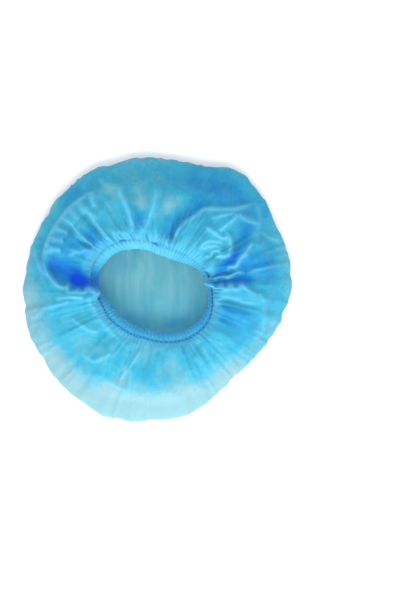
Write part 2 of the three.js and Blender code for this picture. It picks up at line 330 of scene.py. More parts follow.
# Rings of the floor inside its edge: share of the floor's radius, and how many steps each has.
FLOOR_RINGS = ((0.965, 600), (0.92, 600), (0.87, 300), (0.82, 300), (0.78, 300), (0.74, 300), (0.69, 300),
               (0.64, 300), (0.59, 300), (0.54, 300), (0.48, 150), (0.42, 150), (0.36, 150), (0.30, 150),
               (0.24, 150), (0.18, 75), (0.12, 75), (0.06, 75))
# Wrinkles of the floor: rise in mm, cell, slant, how narrow, a seed, and the share of the floor where they
# start to die out.
FLOOR_WRINKLE = 1.4
WRINKLE_CELL = 14 * MM
WRINKLE_SLANT = 0.25
WRINKLE_POWER = 3
WRINKLE_SEED = 41
WRINKLE_END = 0.85
# Depth of colour that the floor's painted shadows take on the cloth's ramp.
FLOOR_SHADOW_DEPTH = 0.5
# Painted shadow on the floor, where the rim and the hem shade it: how strongly, half width in mm, points in
# pixels.
FLOOR_SHADES = {
    "low_left": (0.6, 5, [(128, 317), (140, 321)]),
    "low_middle": (0.6, 5, [(168, 324), (182, 321)]),
    "left_end": (0.5, 7, [(98, 288), (103, 298)]),
    "upper_left": (0.25, 9, [(112, 268), (126, 262)]),
}
# Painted light on the floor, for light that comes through the front side: how much, and from and to which
# place along Y in mm.
FLOOR_GLOW = (0.55, 8.0, -30.0)
# Crumples with flat sides: cells round the cap, size in mm, and a seed.
CRUMPLES = ((26, 1.6, 15), (54, 1.1, 16), (110, 0.5, 17))
# The radius where a cell is as long as it is wide, and how many rows of corners there are.
FACET_RADIUS = 0.115
FACET_ROWS = 64
# The longest way from the floor's edge to the seam, in metres.
MAX_PATH = 0.2
# How crumples are pushed along the path, in metres, and round the cap, in radians: how far, cells round the
# cap and along the path, and a seed.
PUSH_ALONG = (6 * MM, 36, 12, 13)
PUSH_ROUND = (0.06, 40, 14, 14)
# The heights in mm between which crumples grow in, and the reach over which they do at the seam.
CRUMPLE_HEIGHTS = (3.0, 12.0)
CRUMPLE_START = 0.08
# Creases that run over the rim: cells round the cap and along the path, size in mm, and a seed.
RIM_CREASES = (104, 4, 0.9, 18)

# The hem: length from the seam to its free edge and rise of its bow, in mm, and how late it bends down.
HEM_LENGTH = 11.5
HEM_RISE = 1.4
HEM_BEND = 1.6
HEM_STEPS = 1584
HEM_ROWS = 13
# How far it rises over the elastic where gathers cover that.
HEM_LIFT = 0.3 * MM
# Its ribs: height in mm, and how much they grow towards the free edge.
HEM_RIB = 0.55
HEM_FLARE = 0.5
# How much they differ, and how far the free edge waves in mm: size, cells round the cap, and a seed.
HEM_UNEVEN = (0.7, 70, 52)
HEM_LOOSE = (0.8, 60, 51)
# What share of the ribs' height is left on the front side.
HEM_SOFT = 0.45
# The hem's back stretch, painted paler as the side that faces the key light, and with crisper ribs: the
# bearing of its middle and its half width in degrees.
HEM_BACK = (100, 120)
# The same for the stretch that lies in the left pocket, which gets painted shade.
HEM_POCKET = (172, 20)
# Painted light and shade: its lightness and its depth of colour in front, which faces away from the key
# light, and what the lit back, the crests' painted highlight and the pocket's painted shade add.
HEM_SHINE = 0.32
BACK_SHINE = 0.58
CREST_SHINE = 0.14
HEM_DEPTH = 0.52
BACK_DEPTH = -0.27
CREST_DEPTH = -0.04
POCKET_DEPTH = 0.35

# The elastic, and what share of its radius it swells by between the ribs.
ELASTIC_RADIUS = 0.8 * MM
ELASTIC_SWELL = 0.12
ELASTIC_SIDES = 8
ELASTIC_STEPS = 1056

# A stitch: the thread's radius, how far it reaches to each side of the elastic, its arch, how far its ends
# sink and how far they slant.
STITCH_RADIUS = 0.3 * MM
STITCH_REACH = 1.7 * MM
STITCH_RISE = 1.5 * MM
STITCH_SINK = 0.4 * MM
STITCH_SLANT = 0.5 * MM
STITCH_STEPS = 7
STITCH_SIDES = 6
# The part of a half wave that its thickness follows: where it starts, and how much of it there is.
STITCH_TAPER = (0.15, 0.9)
STITCH_DEPTH = 0.2
STITCH_SHINE = 0.8

# The cloth's patterns, in cells to the metre: clouds and tufts of fibres, fibres, bonded dots, and the
# streaks of the floor, which are drawn out along Y.
CLOUD_SCALE = 70
TUFT_SCALE = 260
FIBRE_SCALE = 900
BOND_SCALE = 700.0
STREAK_SCALE = 110
STREAK_DRAW = (1.0, 0.18, 1.0)
STREAK_RANGE = (0.35, 0.65)
# How much clouds and tufts change the depth of colour, and how much fibres change the colour.
CLOUD_DEPTH = 0.3
TUFT_DEPTH = 0.22
SPECK = 0.1
# The depths of colour that two layers and gathered layers have. One layer has 0, and a pocket 1.
CLOTH_STOP = 0.35
PLEAT_STOP = 0.62
# How far full painted highlight mixes the colour towards the fold colour.
FOLD_SHARE = 0.75
# Relief of the cloth: shares of the fibres and the dots, strength and height in metres.
FIBRE_RELIEF = 0.6
BOND_RELIEF = 0.4
CLOTH_RELIEF = 0.25
RELIEF_HEIGHT = 0.0002
# Shares of the light that the cloth lets through softened, and straight through its holes, and that tint.
THROUGH = 0.45
HOLES = 0.18
HOLE_TINT = (0.7, 0.93, 0.99, 1)
CLEAR_BOUNCES = 24

# The elastic's winding: cells to the metre, change of its colour, and strength of its relief.
WINDING_SCALE = 1200
WINDING_TINT = 0.3
WINDING_RELIEF = 0.4

# The studio, in metres: half the floor's side, and the key light's size, place and tilt in degrees.
GROUND_REACH = 6.0
KEY_SIZE = 1.8
KEY_PLACE = (0.1, -1.0, 0.8)
KEY_TILT = 51


def smooth(low, high, x):
    """A smooth step from 0 at low to 1 at high."""
    t = np.clip((x - low) / (high - low), 0, 1)
    return t * t * (3 - 2 * t)


def cubic(a, b, c, d, t):
    """The Catmull-Rom cubic from b to c, with a before and d after, at t from 0 to 1."""
    return b + 0.5 * t * (c - a + t * (2 * a - 5 * b + 4 * c - d + t * (3 * (b - c) + d - a)))


def section(name, bearing):
    """A column of SECTIONS, in metres, on a closed cubic through its rows."""
    values = SECTIONS[:, SECTION_COLUMNS.index(name)] * MM
    place = bearing / TURN * len(values)
    row = np.floor(place).astype(int)
    a, b, c, d = (values[(row + k) % len(values)] for k in (-1, 0, 1, 2))
    return cubic(a, b, c, d, place - row)


def open_curve(rows, place):
    """An open cubic through rows of numbers, read at row numbers that may be fractions."""
    last = len(rows) - 1
    row = np.clip(np.floor(place).astype(int), 0, last - 1)
    a, b, c, d = (rows[np.clip(row + k, 0, last)] for k in (-1, 0, 1, 2))
    return cubic(a, b, c, d, (place - row)[:, None])


def plan(pixels):
    """Pixels of the photograph as x and y in the frame: right is +X, up is +Y."""
    points = np.asarray(pixels, float)
    return (points - ORIGIN_PIXEL) * (PIXEL, -PIXEL)


def plan_curve(pixels, steps=6):
    """A smooth curve in plan through a few pixels, with some steps for each."""
    points = plan(pixels)
    return open_curve(points, np.linspace(0, len(points) - 1, steps * (len(points) - 1) + 1))


def nearest(curve, x, y):
    """For each place: the distance to a curve, the side of it (+1 on its left), and how far along it is."""
    away = np.full(x.shape, np.inf)
    side = np.zeros(x.shape)
    along = np.zeros(x.shape)
    spans = len(curve) - 1
    for k in range(spans):
        px, py = curve[k]
        dx, dy = curve[k + 1] - curve[k]
        t = np.clip(((x - px) * dx + (y - py) * dy) / (dx * dx + dy * dy), 0, 1)
        gap = np.hypot(x - px - t * dx, y - py - t * dy)
        closer = gap < away
        away = np.where(closer, gap, away)
        side = np.where(closer, np.sign(dx * (y - py) - dy * (x - px)), side)
        along = np.where(closer, (k + t) / spans, along)
    return away, side, along


def ends_faded(along, share):
    """1 along a curve's middle, easing to 0 at its two ends."""
    return smooth(0, share, along) * smooth(0, share, 1 - along)


def cell_noise(u, v, cells_u, cells_v, seed):
    """Smooth noise from -1 to 1 on a lattice of cells, which closes on itself along u.

    u and v run from 0 to 1."""
    lattice = np.random.default_rng(seed).uniform(-1, 1, (cells_u, cells_v + 2))
    pu = u * cells_u
    pv = np.clip(v, 0, 1) * cells_v
    iu, iv = np.floor(pu).astype(int), np.floor(pv).astype(int)
    fu, fv = smooth(0, 1, pu - iu), smooth(0, 1, pv - iv)
    a, b = lattice[iu % cells_u, iv], lattice[(iu + 1) % cells_u, iv]
    c, d = lattice[iu % cells_u, iv + 1], lattice[(iu + 1) % cells_u, iv + 1]
    return (a * (1 - fu) + b * fu) * (1 - fv) + (c * (1 - fu) + d * fu) * fv


def plan_noise(x, y, cell, seed):
    """Smooth noise from -1 to 1 in plan, with cells of a size in metres."""
    cells = round(PLAN_SPAN / cell)
    return cell_noise((x / PLAN_SPAN + 0.5) % 1, y / PLAN_SPAN + 0.5, cells, cells, seed)


def round_noise(bearing, cells, seed):
    """Smooth noise from -1 to 1 that changes only round the cap."""
    return cell_noise(bearing / TURN, np.zeros_like(bearing), cells, 1, seed)


def creased(noise):
    """Noise from -1 to 1 made into sharp creases: highest, 1, where the noise crosses 0."""
    return 1 - CREASE_FALL * np.abs(noise)


def facets(bearing, path, around, seed):
    """Crumples with flat sides: heights from -1 to 1 at the corners of a lattice of triangles, straight
    between them. The lattice has a number of cells round the cap, and as long a cell along the path."""
    corners = np.random.default_rng(seed).uniform(-1, 1, (around, FACET_ROWS))
    v = path / (TURN * FACET_RADIUS / around) * (2 / math.sqrt(3)) + 1
    u = bearing / TURN * around - v / 2
    iu, iv = np.floor(u).astype(int), np.floor(v).astype(int)
    fu, fv = u - iu, v - iv
    upper = fu + fv > 1
    near = corners[np.where(upper, iu + 1, iu) % around, np.where(upper, iv + 1, iv)]
    right, left = corners[(iu + 1) % around, iv], corners[iu % around, iv + 1]
    share = np.where(upper, fu + fv - 1, 1 - fu - fv)
    return near * share + right * np.where(upper, 1 - fv, fu) + left * np.where(upper, 1 - fu, fv)


def crumple(bearing, path):
    """Three sizes of facets, on places that are first pushed about a little so that no row is straight, and
    creased noise drawn out across the rim. Millimetres."""
    u, v = bearing / TURN, path / MAX_PATH
    far, around, along, seed = PUSH_ALONG
    pushed_path = path + far * cell_noise(u, v, around, along, seed)
    far, around, along, seed = PUSH_ROUND
    pushed = bearing + far * cell_noise(u, v, around, along, seed)
    around, along, size, seed = RIM_CREASES
    height = size * creased(cell_noise(u, v, around, along, seed))
    return height + sum(size * facets(pushed, pushed_path, around, seed) for around, size, seed in CRUMPLES)


def rib_phase(bearing):
    """The phase of the ribs round the mouth, in radians, with a pitch that wanders a little."""
    return RIBS * bearing + RIB_WANDER * round_noise(bearing, RIB_CELLS, RIB_SEED)


def rib_wave(phase):
    """Twice the square of a cosine wave from 0 to 1, less its mean: narrow crests and wide valleys."""
    return 2 * (0.5 + 0.5 * np.cos(phase)) ** 2 - RIB_MEAN


def wedge_height(bearing, reach):
    """The broad folds: each a cosine bump across its wedge, eased in and out along the reach. Metres."""
    height = np.zeros_like(reach)
    for at, half, rise, start, end in WEDGES.values():
        across = bump(degrees_off(bearing, at), half)
        along = smooth(start, start + WEDGE_RAMP, reach) * (1 - smooth(end - WEDGE_FADE, end, reach))
        height += rise * MM * across * along
    return height


def fan_ridges():
    """The pleats of the left shelf, as rows like those of RIDGES: each starts at a place along the shelf."""
    count, rise, half, shine, share, target = FAN
    shelf = np.array(LAPS["left_shelf"][-1])
    starts = open_curve(shelf, np.linspace(0, len(shelf) - 1, count))
    return [(rise, half, shine, [start, start + share * (target - start)]) for start in starts[1:]]


def ridge_height(x, y):
    """The sharp ridges: height falls off exponentially from each curve. Also the painted highlight along the
    folds.
    """
    height, light = np.zeros_like(x), np.zeros_like(x)
    for rise, half, shine, pixels in (*RIDGES.values(), *fan_ridges()):
        away, _, along = nearest(plan_curve(pixels), x, y)
        near = ends_faded(along, RIDGE_ENDS)
        height += rise * MM * near * np.exp(-away / (half * MM))
        light = np.maximum(light, shine * near * np.exp(-(away / (half * MM)) ** 2))
    return height, light


def lap_height(x, y):
    """The overlaps: the left side of each curve drops and comes back up, its right side rises to a lip. Also
    the painted highlight along each lip.
    """
    height, light = np.zeros_like(x), np.zeros_like(x)
    for drop, back, lip, shine, pixels in LAPS.values():
        away, side, along = nearest(plan_curve(pixels), x, y)
        signed = away * side / (LAP_SHARPNESS * MM)
        low = 0.5 + 0.5 * np.tanh(signed)
        near = ends_faded(along, LAP_ENDS)
        height -= drop * MM * near * low * np.exp(-away / (back * MM))
        height += lip * MM * near * (1 - low) * np.exp(-away / LIP_WIDTH)
        band = (away * side + LIP_MIDDLE) / LIP_HALF
        light = np.maximum(light, shine * near * np.exp(-band ** 2))
    return height, light


def degrees_off(bearing, at):
    """How many degrees each bearing lies from one given in degrees."""
    return np.abs((np.degrees(bearing) - at + 180) % 360 - 180)


def bump(off, half):
    """A cosine bump: 1 in the middle, 0 from the half width on."""
    return np.where(off < half, 0.5 + 0.5 * np.cos(np.pi * off / half), 0)


def bumps(table, bearing):
    """The sum of a table's bumps, each at a bearing, with a half width and a size in mm. Metres."""
    return sum(size * MM * bump(degrees_off(bearing, at), half) for at, half, size in table.values())


def cover(bearing):
    """1 where gathers close over the elastic, 0 where it shows in its groove."""
    start, end, ease = COVER
    degrees = np.degrees(bearing)
    closed = smooth(start, start + ease, degrees) * (1 - smooth(end - ease, end, degrees))
    for at, half in COVER_GAPS:
        closed = closed * (1 - bump(degrees_off(bearing, at), half))
    return closed


def edge_offset(bearing):
    """From the elastic's middle to the crown's edge, which goes past it where gathers cover it."""
    return EDGE_OFFSET * (1 - COVER_PAST * cover(bearing))


def gather_height(bearing, reach):
    """Gathers: creased noise drawn out along the reach, finer nearer the mouth, soft on some sides."""
    height = np.zeros_like(reach)
    strength = np.ones_like(reach)
    for at, full_half, gone_half, soft in SOFT_SIDES.values():
        strength = strength * (soft + (1 - soft) * smooth(full_half, gone_half, degrees_off(bearing, at)))
    for seed, (around, along, rise, full, fading, gone) in enumerate(GATHERS.values(), GATHER_SEED):
        wave = creased(cell_noise(bearing / TURN, reach, around, along, seed))
        height += rise * MM * strength * wave * smooth(0, full, reach) * (1 - smooth(fading, gone, reach))
    ribs = rib_wave(rib_phase(bearing)) * (1 - smooth(0, RIB_REACH, reach))
    return height + RIB_RISE * MM * ribs * np.sqrt(strength)


def layer_and_shade_depth(x, y, layers=LAYERS_AND_SHADE):
    """Depth of colour beyond the usual, from layers that lie on one another and from painted shade and light:
    a soft band round each curve of a table.
    """
    depth = np.zeros_like(x)
    for added, half, pixels in layers.values():
        away, _, _ = nearest(plan_curve(pixels), x, y)
        depth += added * np.exp(-(away / (half * MM)) ** 2)
    return depth


def profile_rows():
    """PROFILE on a cubic through its stations, with the rows of the grid between them."""
    rows = PROFILE[:, PROFILE_COLUMNS.index("rows")].astype(int)
    places = np.concatenate([k + np.arange(n) / n for k, n in enumerate(rows[:-1])] + [[len(rows) - 1]])
    return open_curve(PROFILE[:, :4], places)


def crown_side():
    """The crown from the floor's edge to the seam: rows by bearings, with depth of colour from layers and
    painted shade, and painted light.

    Radius and height follow the profile between outline and seam. Crumples move the cloth along its own
    normal. Above the outline the broad folds, ridges, overlaps and gathers are added to the height, and ease
    out towards the outline."""
    bearing = np.arange(TURN_STEPS) / TURN_STEPS * TURN
    out, seam, height, hang = (column[:, None] for column in profile_rows().T)
    outline = section("outline", bearing) + bumps(OUTLINE_SWELLS, bearing)
    edge = section("seam", bearing) + edge_offset(bearing)
    radius = out * outline + seam * edge
    reach = np.clip((radius - edge) / (outline - edge), 0, 1)
    full, fading, gone = OVERHANG_REACH
    over = bumps(OVERHANGS, bearing) * smooth(0, full, reach) * (1 - smooth(fading, gone, reach))
    radius = radius - over
    bearing = np.broadcast_to(bearing, radius.shape)
    rise = np.gradient(height * MM + hang * section("seam_height", bearing), axis=0)
    run = np.gradient(radius, axis=0)
    step = np.hypot(rise, run)
    path = np.cumsum(step, axis=0)
    outwards, upwards = rise / step, -run / step
    worn = smooth(*CRUMPLE_HEIGHTS, height + SEAM_LEVEL * hang) * smooth(0, CRUMPLE_START, reach)
    crumples = worn * MM * crumple(bearing, path)
    radius = radius + outwards * crumples
    x, y = radius * np.cos(bearing), radius * np.sin(bearing)
    above = smooth(0, SIDE_EASE, seam)
    at_seam = smooth(0, FOLD_START, reach)
    ridges, ridge_light = ridge_height(x, y)
    laps, lap_light = lap_height(x, y)
    lift = wedge_height(bearing, reach) + (ridges + laps) * at_seam
    gathers = gather_height(bearing, reach)
    seam_height = section("seam_height", bearing) + COVER_RISE * cover(bearing)
    z = height * MM + hang * seam_height + upwards * crumples + above * (lift + gathers)
    tier = 1 - smooth(*TIER_REACH, reach)
    # Depth of colour: the tier's layers, the bands of layers with painted shade and light, and painted shade
    # in the gathers' valleys over the tier.
    depth = RING_DEPTH + TIER_DEPTH * tier + layer_and_shade_depth(x, y) - GATHER_VALLEY_SHADE * gathers * tier
    # Painted light beside the seam, stopped where a pocket's colour is deep.
    shine = SEAM_SHINE * (1 - smooth(0, SEAM_REACH, reach)) * (1 - smooth(*POCKET_DEPTHS, depth))
    light = np.maximum(above * np.maximum(ridge_light, lap_light), shine)
    return np.stack([x, y, z], -1), depth, light


def crown_floor(ring_share, steps):
    """One ring of the crown's floor: flat on the surface, with low wrinkles that die out at its edge."""
    bearing = np.arange(steps) / steps * TURN
    radius = ring_share * FLOOR_SHARE * (section("outline", bearing) + bumps(OUTLINE_SWELLS, bearing))
    x, y = radius * np.cos(bearing), radius * np.sin(bearing)
    fold = np.abs(plan_noise(x + WRINKLE_SLANT * y, WRINKLE_SLANT * y, WRINKLE_CELL, WRINKLE_SEED))
    z = FLOOR_WRINKLE * MM * (1 - fold) ** WRINKLE_POWER * (1 - smooth(WRINKLE_END, 1, ring_share))
    return np.stack([x, y, z], -1)


def ring_faces(a, count_a, b, count_b):
    """Faces between two rings of vertices, starting at a and b: quads, or fans where b has half as many."""
    if count_a == count_b:
        i = np.arange(count_a)
        j = (i + 1) % count_a
        return np.stack([a + i, a + j, b + j, b + i], -1).tolist()
    i = np.arange(count_b)
    j = (i + 1) % count_b
    left = np.stack([b + i, a + 2 * i, a + 2 * i + 1], -1)
    middle = np.stack([b + i, a + 2 * i + 1, b + j], -1)
    right = np.stack([b + j, a + 2 * i + 1, a + 2 * j], -1)
    return np.concatenate([left, middle, right]).tolist()


def new_piece(name, points, faces, material, attributes):
    """A mesh object at the origin, with smooth faces and a number for each vertex in each attribute."""
    mesh = bpy.data.meshes.new(name)
    mesh.from_pydata(points.tolist(), [], faces)
    mesh.polygons.foreach_set("use_smooth", np.ones(len(faces), bool))
    for title, values in attributes.items():
        layer = mesh.attributes.new(title, "FLOAT", "POINT")
        layer.data.foreach_set("value", np.ascontiguousarray(values, dtype=np.float32))
    mesh.materials.append(material)
    mesh.validate()
    mesh.update()
    piece = bpy.data.objects.new(name, mesh)
    bpy.context.scene.collection.objects.link(piece)
    return piece


def thicken(piece, wall):
    """Gives a sheet its wall, inwards."""
    solid = piece.modifiers.new("wall", "SOLIDIFY")
    solid.thickness = wall
    solid.offset = -1
    return piece


def crown_mesh(material):
    """The whole crown: its side and top, then the floor ring by ring to the middle."""
    side, depth, light = crown_side()
    rows = len(side)
    points = [side.reshape(-1, 3)]
    faces = []
    for row in range(rows - 1):
        faces += ring_faces(row * TURN_STEPS, TURN_STEPS, (row + 1) * TURN_STEPS, TURN_STEPS)
    start, steps = 0, TURN_STEPS
    size = rows * TURN_STEPS
    floor = []
    for share, count in FLOOR_RINGS:
        floor += ring_faces(start, steps, size, count)
        points.append(crown_floor(share, count))
        start, steps = size, count
        size += count
    points.append(np.zeros((1, 3)))
    i = np.arange(steps)
    floor += np.stack([start + i, start + (i + 1) % steps, np.full(steps, size)], -1).tolist()
    faces += [face[::-1] for face in floor]
    points = np.concatenate(points)
    x, y, _ = points[depth.size:].T
    glow, dim, bright = FLOOR_GLOW
    attributes = {
        # The floor's depth of colour is the colour of its painted shadow.
        "depth": np.concatenate([depth.ravel(), np.full(x.size, FLOOR_SHADOW_DEPTH)]),
        # Painted light on the floor towards the front, mixed in as the fold colour.
        "light": np.concatenate([light.ravel(), glow * smooth(dim * MM, bright * MM, y)]),
        # 1 on the floor, less where painted shadow mixes it towards that colour.
        "inside": np.concatenate([np.zeros(depth.size), 1 - layer_and_shade_depth(x, y, FLOOR_SHADES)]),
    }
    return new_piece("crown_cloth", points, faces, material, attributes)


def hem_mesh(material):
    """The ruffle: from the elastic it rises a little, bends over and drops into the mouth, rib by rib."""
    bearing = np.arange(HEM_STEPS) / HEM_STEPS * TURN
    run = np.linspace(0, 1, HEM_ROWS)[:, None]
    reach = section("hem", bearing)
    length = HEM_LENGTH * MM
    drop = np.sqrt(length ** 2 - reach ** 2)
    lean = reach / length
    wave = rib_wave(rib_phase(bearing))
    size, cells, seed = HEM_LOOSE
    loose = size * MM * round_noise(bearing, cells, seed)
    size, cells, seed = HEM_UNEVEN
    uneven = 1 + size * round_noise(bearing, cells, seed)
    back = bump(degrees_off(bearing, HEM_BACK[0]), HEM_BACK[1])
    crisp = HEM_SOFT + (1 - HEM_SOFT) * back
    rib = HEM_RIB * MM * crisp * wave * uneven * (1 + HEM_FLARE * run) + loose * run
    bow = HEM_RISE * MM * np.sin(np.pi * run) * lean
    start = section("seam", bearing) - EDGE_OFFSET * (1 - COVER_TUCK * cover(bearing))
    radius = start - reach * run - rib * (1 - lean)
    z = section("seam_height", bearing) - drop * run ** HEM_BEND + bow + rib * lean
    z = z + HEM_LIFT * cover(bearing) * (1 - run)
    points = np.stack([radius * np.cos(bearing), radius * np.sin(bearing), z], -1)
    faces = []
    for row in range(HEM_ROWS - 1):
        faces += ring_faces(row * HEM_STEPS, HEM_STEPS, (row + 1) * HEM_STEPS, HEM_STEPS)
    # Painted light on the back stretch and the rib crests, painted shade on the front stretch and in the left
    # pocket.
    crests = np.broadcast_to(wave * crisp, z.shape)
    pocket = bump(degrees_off(bearing, HEM_POCKET[0]), HEM_POCKET[1])
    shine = (HEM_SHINE + BACK_SHINE * back + CREST_SHINE * crests) * (1 - pocket)
    depth = HEM_DEPTH + BACK_DEPTH * back + POCKET_DEPTH * pocket + CREST_DEPTH * crests
    attributes = {
        "depth": depth.ravel(),
        "light": np.clip(shine, 0, 1).ravel(),
        "inside": np.zeros(z.size),
    }
    return new_piece("hem_cloth", points.reshape(-1, 3), faces, material, attributes)


def elastic_mesh(material):
    """The elastic: a thin round cord along the seam, its section swelling where the ribs grip it less."""
    bearing = np.arange(ELASTIC_STEPS) / ELASTIC_STEPS * TURN
    turn = (np.arange(ELASTIC_SIDES) / ELASTIC_SIDES * TURN)[:, None]
    swell = ELASTIC_RADIUS * (1 + ELASTIC_SWELL * np.cos(rib_phase(bearing)))
    radius = section("seam", bearing) + swell * np.cos(turn)
    z = section("seam_height", bearing) - COVER_RISE * cover(bearing) + swell * np.sin(turn)
    points = np.stack([radius * np.cos(bearing), radius * np.sin(bearing), z], -1).reshape(-1, 3)
    faces = []
    for side in range(ELASTIC_SIDES):
        after = (side + 1) % ELASTIC_SIDES
        faces += ring_faces(side * ELASTIC_STEPS, ELASTIC_STEPS, after * ELASTIC_STEPS, ELASTIC_STEPS)
    faces = [face[::-1] for face in faces]
    return new_piece("elastic_cord", points, faces, material, {"depth": np.ones(len(points))})


def stitch_mesh(material):
    """The seam's stitches: a short thread arched over the elastic in each valley between two ribs."""
    bearing = np.arange(HEM_STEPS) / HEM_STEPS * TURN
    at = np.interp(np.arange(RIBS) * TURN + math.pi, rib_phase(bearing), bearing)[:, None, None]
    over = np.linspace(0, math.pi, STITCH_STEPS)[None, :, None]
    turn = (np.arange(STITCH_SIDES) / STITCH_SIDES * TURN)[None, None, :]
    taper_start, taper_part = STITCH_TAPER
    thread = STITCH_RADIUS * np.sin(taper_start + taper_part * over)
    lean = section("seam", at) + STITCH_REACH * np.cos(over) + thread * np.cos(turn) * np.cos(over)
    z = section("seam_height", at) + COVER_RISE * cover(at)
    z = z + STITCH_RISE * np.sin(over) - STITCH_SINK + thread * np.cos(turn) * np.sin(over)
    aside = thread * np.sin(turn) + STITCH_SLANT * np.cos(over)
    x = lean * np.cos(at) - aside * np.sin(at)
    y = lean * np.sin(at) + aside * np.cos(at)
    points = np.stack(np.broadcast_arrays(x, y, z), -1).reshape(-1, 3)
    each = STITCH_STEPS * STITCH_SIDES
    ring = np.concatenate([
        ring_faces(k * STITCH_SIDES, STITCH_SIDES, (k + 1) * STITCH_SIDES, STITCH_SIDES)
        for k in range(STITCH_STEPS - 1)])
    caps = np.array([np.arange(STITCH_SIDES)[::-1], each - STITCH_SIDES + np.arange(STITCH_SIDES)])
    starts = (np.arange(RIBS) * each)[:, None, None]
    faces = (starts + ring).reshape(-1, 4).tolist() + (starts + caps).reshape(-1, STITCH_SIDES).tolist()
    flat = np.zeros(len(points))
    attributes = {"depth": flat + STITCH_DEPTH, "light": flat + STITCH_SHINE, "inside": flat}
    return new_piece("seam_stitches", points, faces, material, attributes)


class Nodes:
    """A material's node tree, with short ways to add a node and join sockets."""

    def __init__(self, name):
        self.material = bpy.data.materials.new(name)
        self.material.use_nodes = True
        self.tree = self.material.node_tree
        self.tree.nodes.clear()

    def add(self, kind, inputs=None, **settings):
        """A new node: a socket among the inputs is joined, any other value is set."""
        node = self.tree.nodes.new(kind)
        for key, value in settings.items():
            setattr(node, key, value)
        for key, value in (inputs or {}).items():
            if isinstance(value, bpy.types.NodeSocket):
                self.tree.links.new(value, node.inputs[key])
            else:
                node.inputs[key].default_value = value
        return node

    def attribute(self, name):
        """The number that the mesh keeps for each vertex under a name."""
        return self.add("ShaderNodeAttribute", attribute_name=name).outputs["Fac"]

    def noise(self, where, scale, detail):
        """Noise from 0 to 1."""
        node = self.add("ShaderNodeTexNoise", {"Vector": where, "Scale": scale, "Detail": detail})
        return node.outputs["Fac"]

    def math(self, operation, first, second):
        """Two values put together by the operation that is named."""
        return self.add("ShaderNodeMath", {0: first, 1: second}, operation=operation).outputs[0]

    def spread(self, noise, size):
        """Noise from 0 to 1 as a change to both sides of 0."""
        return self.math("MULTIPLY", self.math("SUBTRACT", noise, 0.5), size)

    def tint(self, colour, noise, size):
        """A colour made darker and lighter by noise, by a share of itself."""
        share = self.add("ShaderNodeMapRange", {"Value": noise, "To Min": 1 - size, "To Max": 1 + size})
        return self.mix(1.0, colour, share.outputs[0], "MULTIPLY")

    def relief(self, height, strength):
        """A normal that follows a height."""
        inputs = {"Height": height, "Strength": strength, "Distance": RELIEF_HEIGHT}
        return self.add("ShaderNodeBump", inputs).outputs[0]

    def mix(self, factor, first, second, blend="MIX"):
        """Two colours mixed."""
        node = self.add("ShaderNodeMix", {"Factor": factor}, data_type="RGBA", blend_type=blend)
        for socket, value in ((node.inputs[6], first), (node.inputs[7], second)):
            if isinstance(value, bpy.types.NodeSocket):
                self.tree.links.new(value, socket)
            else:
                socket.default_value = value
        return node.outputs[2]


def rgba(colour):
    """A colour with full cover."""
    return (*colour, 1.0)


def cloth_material(name, colours):
    """Thin spunbonded cloth: pale where one layer lies alone and where painted light is given, deeper blue
    where layers lie on one another and where painted shade is given, with painted highlight along sharp
    folds, cloudy as its fibres are, and part of the light goes through it."""
    n = Nodes(name)
    where = n.add("ShaderNodeTexCoord").outputs["Object"]
    clouds = n.noise(where, CLOUD_SCALE, 3)
    tufts = n.noise(where, TUFT_SCALE, 3)
    fibres = n.noise(where, FIBRE_SCALE, 2)
    depth = n.math("ADD", n.attribute("depth"), n.spread(clouds, CLOUD_DEPTH))
    depth = n.math("ADD", depth, n.spread(tufts, TUFT_DEPTH))
    ramp = n.add("ShaderNodeValToRGB", {"Fac": depth})
    stops = ramp.color_ramp.elements
    stops[0].color = rgba(colours.pale)
    stops[1].color = rgba(colours.pocket)
    for position, colour in ((CLOTH_STOP, colours.cloth), (PLEAT_STOP, colours.pleat)):
        stops.new(position).color = rgba(colour)
    drawn = n.add("ShaderNodeMapping", {"Vector": where, "Scale": STREAK_DRAW}).outputs[0]
    low, high = STREAK_RANGE
    streaks = {"Value": n.noise(drawn, STREAK_SCALE, 2), "From Min": low, "From Max": high}
    streaks = n.add("ShaderNodeMapRange", streaks).outputs[0]
    inside = n.mix(streaks, rgba(colours.inside), rgba(colours.streak))
    colour = n.mix(n.attribute("inside"), ramp.outputs["Color"], inside)
    # Painted highlight: the attribute light mixes in the fold colour.
    colour = n.mix(n.math("MULTIPLY", n.attribute("light"), FOLD_SHARE), colour, rgba(colours.fold))
    colour = n.tint(colour, fibres, SPECK)
    bonds = n.add("ShaderNodeTexVoronoi", {"Vector": where, "Scale": BOND_SCALE}).outputs["Distance"]
    height = n.math("ADD", n.math("MULTIPLY", fibres, FIBRE_RELIEF), n.math("MULTIPLY", bonds, BOND_RELIEF))
    normal = n.relief(height, CLOTH_RELIEF)
    front = n.add("ShaderNodeBsdfPrincipled", {
        "Base Color": colour, "Roughness": 0.75, "Sheen Weight": 0.25, "Specular IOR Level": 0.2,
        "Normal": normal})
    through = n.add("ShaderNodeBsdfTranslucent", {"Color": colour, "Normal": normal})
    lit = n.add("ShaderNodeMixShader", {0: THROUGH, 1: front.outputs[0], 2: through.outputs[0]})
    clear = n.add("ShaderNodeBsdfTransparent", {"Color": HOLE_TINT})
    thin = n.add("ShaderNodeMixShader", {0: HOLES, 1: lit.outputs[0], 2: clear.outputs[0]})
    n.add("ShaderNodeOutputMaterial", {"Surface": thin.outputs[0]})
    return n.material


